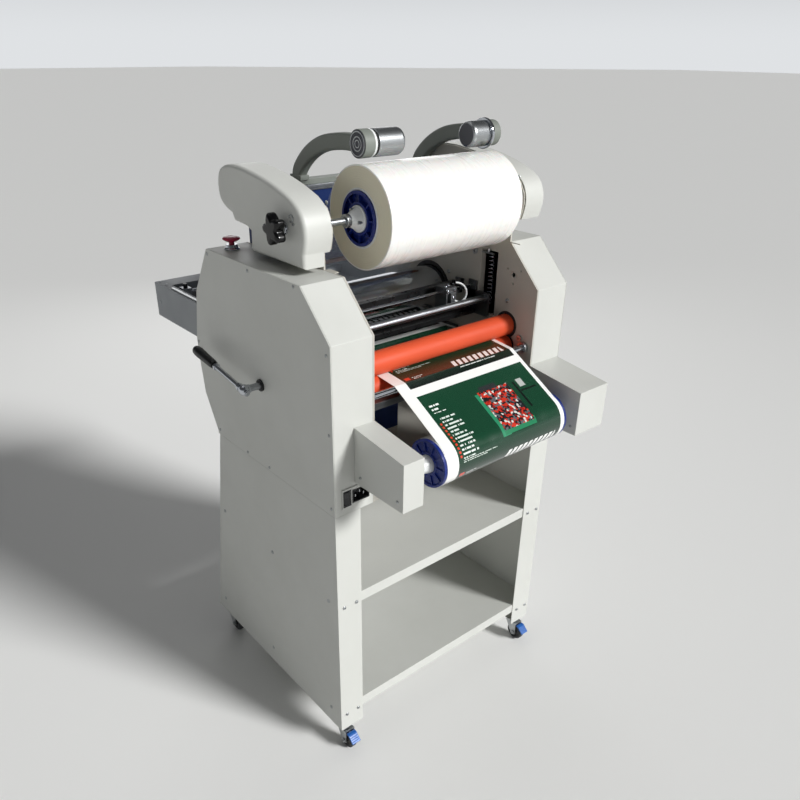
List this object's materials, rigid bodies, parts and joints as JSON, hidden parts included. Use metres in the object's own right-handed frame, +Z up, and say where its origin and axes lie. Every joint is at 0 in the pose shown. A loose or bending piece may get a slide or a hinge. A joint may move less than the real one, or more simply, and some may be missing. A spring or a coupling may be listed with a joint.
{
  "type": "roll laminator",
  "caption": "Free-standing roll laminator: heated nip between side housings, film roll on top, pull rollers, rewind roll in front, feed tray behind, stand with shelves on castors.",
  "frame": {"origin": "middle of the bounding box in plan, at the floor under the castors", "axes": "+X across the web towards the drive housing, +Y from the rewind side to the feed tray, +Z up"},
  "size_m": [0.7574, 1.047, 1.4685],
  "materials": {
    "anti_curl_bar": "brushed",
    "arm_frame": "painted casting",
    "castor_brake_front_left": "moulded",
    "castor_brake_front_right": "moulded",
    "castor_fork_front_left": "brushed",
    "castor_fork_front_right": "brushed",
    "castor_fork_rear_left": "brushed",
    "castor_fork_rear_right": "brushed",
    "castor_wheel_front_left": "moulded",
    "castor_wheel_front_right": "moulded",
    "castor_wheel_rear_left": "moulded",
    "castor_wheel_rear_right": "moulded",
    "chuck_left": "brushed",
    "chuck_right": "brushed",
    "console": "satin paint",
    "control_panel": "smooth powder coat",
    "drive_motor": "cast",
    "estop_button": "moulded",
    "estop_collar": "polished",
    "feed_guide": "brushed",
    "feed_table": "smooth powder coat",
    "film_roll": "wound film",
    "film_strand": "clear film",
    "head_floor": "smooth powder coat",
    "head_side_left": "smooth powder coat",
    "head_side_right": "smooth powder coat",
    "head_wrap_left": "smooth powder coat",
    "head_wrap_right": "smooth powder coat",
    "heat_roller": "polished",
    "inner_plate_left": "smooth powder coat",
    "inner_plate_right": "smooth powder coat",
    "lever_grip": "moulded",
    "power_entry": "moulded",
    "pressure_cradle": "brushed",
    "pressure_lever": "polished",
    "pressure_roller": "ground rubber",
    "printed_web": "laminated print",
    "pull_roller_lower": "silicone",
    "pull_roller_upper": "silicone",
    "rewind_box_left": "smooth powder coat",
    "rewind_box_right": "smooth powder coat",
    "rewind_plug_left": "moulded",
    "rewind_plug_right": "moulded",
    "rewind_roll": "laminated print",
    "rewind_shaft": "moulded",
    "rocker_switch": "moulded",
    "shelf_bottom": "smooth powder coat",
    "shelf_middle": "smooth powder coat",
    "slitter_carriage": "moulded",
    "slitter_rail": "brushed",
    "speed_knob": "moulded",
    "stand_side_left": "smooth powder coat",
    "stand_side_right": "smooth powder coat",
    "star_knob": "moulded",
    "start_button": "moulded",
    "unwind_cover_left": "smooth powder coat",
    "unwind_cover_right": "smooth powder coat",
    "unwind_plug_left": "moulded",
    "unwind_plug_right": "moulded",
    "unwind_shaft": "brushed"
  },
  "bodies": {
    "frame": {"stand_side_left": "stand_side_left", "stand_side_right": "stand_side_right", "shelf_middle": "shelf_middle", "shelf_bottom": "shelf_bottom", "head_side_left": "head_side_left", "head_side_right": "head_side_right", "head_wrap_left": "head_wrap_left", "head_wrap_right": "head_wrap_right", "inner_plate_left": "inner_plate_left", "inner_plate_right": "inner_plate_right", "head_floor": "head_floor", "drive_motor": "drive_motor", "anti_curl_bar": "anti_curl_bar", "slitter_rail": "slitter_rail", "feed_table": "feed_table", "console": "console", "control_panel": "control_panel", "power_entry": "power_entry", "estop_collar": "estop_collar", "unwind_cover_left": "unwind_cover_left", "unwind_cover_right": "unwind_cover_right", "film_strand": "film_strand", "arm_frame": "arm_frame", "rewind_box_left": "rewind_box_left", "rewind_box_right": "rewind_box_right", "printed_web": "printed_web"},
    "heat_roller": {"heat_roller": "heat_roller"},
    "pull_upper": {"pull_roller_upper": "pull_roller_upper"},
    "pull_lower": {"pull_roller_lower": "pull_roller_lower"},
    "cradle": {"pressure_cradle": "pressure_cradle"},
    "pressure_roller": {"pressure_roller": "pressure_roller"},
    "lever": {"pressure_lever": "pressure_lever", "lever_grip": "lever_grip"},
    "slitter": {"slitter_carriage": "slitter_carriage"},
    "guide": {"feed_guide": "feed_guide"},
    "speed_knob": {"speed_knob": "speed_knob"},
    "start_button": {"start_button": "start_button"},
    "rocker": {"rocker_switch": "rocker_switch"},
    "estop": {"estop_button": "estop_button"},
    "star_knob": {"star_knob": "star_knob"},
    "supply_roll": {"unwind_shaft": "unwind_shaft", "unwind_plug_left": "unwind_plug_left", "unwind_plug_right": "unwind_plug_right", "film_roll": "film_roll"},
    "chuck_left": {"chuck_left": "chuck_left"},
    "chuck_right": {"chuck_right": "chuck_right"},
    "take_up": {"rewind_shaft": "rewind_shaft", "rewind_plug_left": "rewind_plug_left", "rewind_plug_right": "rewind_plug_right", "rewind_roll": "rewind_roll"},
    "castor_front_left": {"castor_fork_front_left": "castor_fork_front_left"},
    "wheel_front_left": {"castor_wheel_front_left": "castor_wheel_front_left"},
    "brake_left": {"castor_brake_front_left": "castor_brake_front_left"},
    "castor_front_right": {"castor_fork_front_right": "castor_fork_front_right"},
    "wheel_front_right": {"castor_wheel_front_right": "castor_wheel_front_right"},
    "brake_right": {"castor_brake_front_right": "castor_brake_front_right"},
    "castor_rear_left": {"castor_fork_rear_left": "castor_fork_rear_left"},
    "wheel_rear_left": {"castor_wheel_rear_left": "castor_wheel_rear_left"},
    "castor_rear_right": {"castor_fork_rear_right": "castor_fork_rear_right"},
    "wheel_rear_right": {"castor_wheel_rear_right": "castor_wheel_rear_right"}
  },
  "joints": [
    {"name": "heat_roller_spin", "type": "hinge", "parent": "frame", "child": "heat_roller", "pos_m": [0.02875, -0.002, 1.0314], "axis": [1, 0, 0], "continuous": true},
    {"name": "pull_upper_spin", "type": "hinge", "parent": "frame", "child": "pull_upper", "pos_m": [0.02875, -0.2795, 1.005], "axis": [1, 0, 0], "continuous": true},
    {"name": "pull_lower_spin", "type": "hinge", "parent": "frame", "child": "pull_lower", "pos_m": [0.02875, -0.2795, 0.9522], "axis": [1, 0, 0], "continuous": true},
    {"name": "cradle_lift", "type": "hinge", "parent": "frame", "child": "cradle", "pos_m": [0.02875, 0.0735, 0.878], "axis": [1, 0, 0], "range_deg": [-0.1, 2]},
    {"name": "pressure_roller_spin", "type": "hinge", "parent": "cradle", "child": "pressure_roller", "pos_m": [0.02875, -0.002, 0.9266], "axis": [1, 0, 0], "continuous": true},
    {"name": "lever_turn", "type": "hinge", "parent": "frame", "child": "lever", "pos_m": [0.02875, -0.0955, 0.94], "axis": [1, 0, 0], "range_deg": [0, 80]},
    {"name": "slitter_slide", "type": "slide", "parent": "frame", "child": "slitter", "axis": [1, 0, 0], "range_m": [-0.34, 0.04]},
    {"name": "guide_slide", "type": "slide", "parent": "frame", "child": "guide", "axis": [1, 0, 0], "range_m": [-0.01, 0.2]},
    {"name": "speed_knob_turn", "type": "hinge", "parent": "frame", "child": "speed_knob", "pos_m": [0.09075, 0.1055, 1.243], "axis": [0, 1, 0], "range_deg": [0, 270]},
    {"name": "start_button_press", "type": "slide", "parent": "frame", "child": "start_button", "axis": [0, -1, 0], "range_m": [0, 0.002], "stiffness_N_per_m": 300, "springref_m": -0.002},
    {"name": "rocker_tip", "type": "hinge", "parent": "frame", "child": "rocker", "pos_m": [-0.29, -0.3625, 0.7625], "axis": [1, 0, 0], "range_deg": [0, 14]},
    {"name": "estop_press", "type": "slide", "parent": "frame", "child": "estop", "axis": [0, 0, -1], "range_m": [0, 0.004], "stiffness_N_per_m": 500, "springref_m": -0.003},
    {"name": "star_knob_turn", "type": "hinge", "parent": "frame", "child": "star_knob", "pos_m": [-0.30825, -0.1715, 1.291], "axis": [1, 0, 0], "continuous": true},
    {"name": "supply_roll_spin", "type": "hinge", "parent": "frame", "child": "supply_roll", "pos_m": [0.02875, -0.2305, 1.301], "axis": [1, 0, 0], "continuous": true},
    {"name": "chuck_left_spin", "type": "hinge", "parent": "frame", "child": "chuck_left", "pos_m": [-0.05125, -0.1885, 1.435], "axis": [1, 0, 0], "continuous": true},
    {"name": "chuck_right_spin", "type": "hinge", "parent": "frame", "child": "chuck_right", "pos_m": [0.22875, -0.1885, 1.435], "axis": [1, 0, 0], "continuous": true},
    {"name": "take_up_spin", "type": "hinge", "parent": "frame", "child": "take_up", "pos_m": [0.02875, -0.4645, 0.841], "axis": [1, 0, 0], "continuous": true},
    {"name": "swivel_front_left", "type": "hinge", "parent": "frame", "child": "castor_front_left", "pos_m": [-0.29325, -0.3385, 0.068], "axis": [0, 0, 1], "continuous": true},
    {"name": "roll_front_left", "type": "hinge", "parent": "castor_front_left", "child": "wheel_front_left", "pos_m": [-0.29325, -0.3555, 0.026], "axis": [1, 0, 0], "continuous": true},
    {"name": "brake_left_press", "type": "hinge", "parent": "castor_front_left", "child": "brake_left", "pos_m": [-0.29325, -0.368, 0.048], "axis": [1, 0, 0], "range_deg": [0, 7]},
    {"name": "swivel_front_right", "type": "hinge", "parent": "frame", "child": "castor_front_right", "pos_m": [0.35075, -0.3385, 0.068], "axis": [0, 0, 1], "continuous": true},
    {"name": "roll_front_right", "type": "hinge", "parent": "castor_front_right", "child": "wheel_front_right", "pos_m": [0.35075, -0.3555, 0.026], "axis": [1, 0, 0], "continuous": true},
    {"name": "brake_right_press", "type": "hinge", "parent": "castor_front_right", "child": "brake_right", "pos_m": [0.35075, -0.368, 0.048], "axis": [1, 0, 0], "range_deg": [0, 7]},
    {"name": "swivel_rear_left", "type": "hinge", "parent": "frame", "child": "castor_rear_left", "pos_m": [-0.29325, 0.2335, 0.068], "axis": [0, 0, 1], "continuous": true},
    {"name": "roll_rear_left", "type": "hinge", "parent": "castor_rear_left", "child": "wheel_rear_left", "pos_m": [-0.29325, 0.2165, 0.026], "axis": [1, 0, 0], "continuous": true},
    {"name": "swivel_rear_right", "type": "hinge", "parent": "frame", "child": "castor_rear_right", "pos_m": [0.35075, 0.2335, 0.068], "axis": [0, 0, 1], "continuous": true},
    {"name": "roll_rear_right", "type": "hinge", "parent": "castor_rear_right", "child": "wheel_rear_right", "pos_m": [0.35075, 0.2165, 0.026], "axis": [1, 0, 0], "continuous": true}
  ],
  "couplings": [
    {"joint": "pull_upper_spin", "follows": "heat_roller_spin", "ratio": 2.4615},
    {"joint": "pull_lower_spin", "follows": "heat_roller_spin", "ratio": -2.4615},
    {"joint": "pressure_roller_spin", "follows": "heat_roller_spin", "ratio": -1.6},
    {"joint": "cradle_lift", "follows": "lever_turn", "ratio": 0.0214}
  ]
}
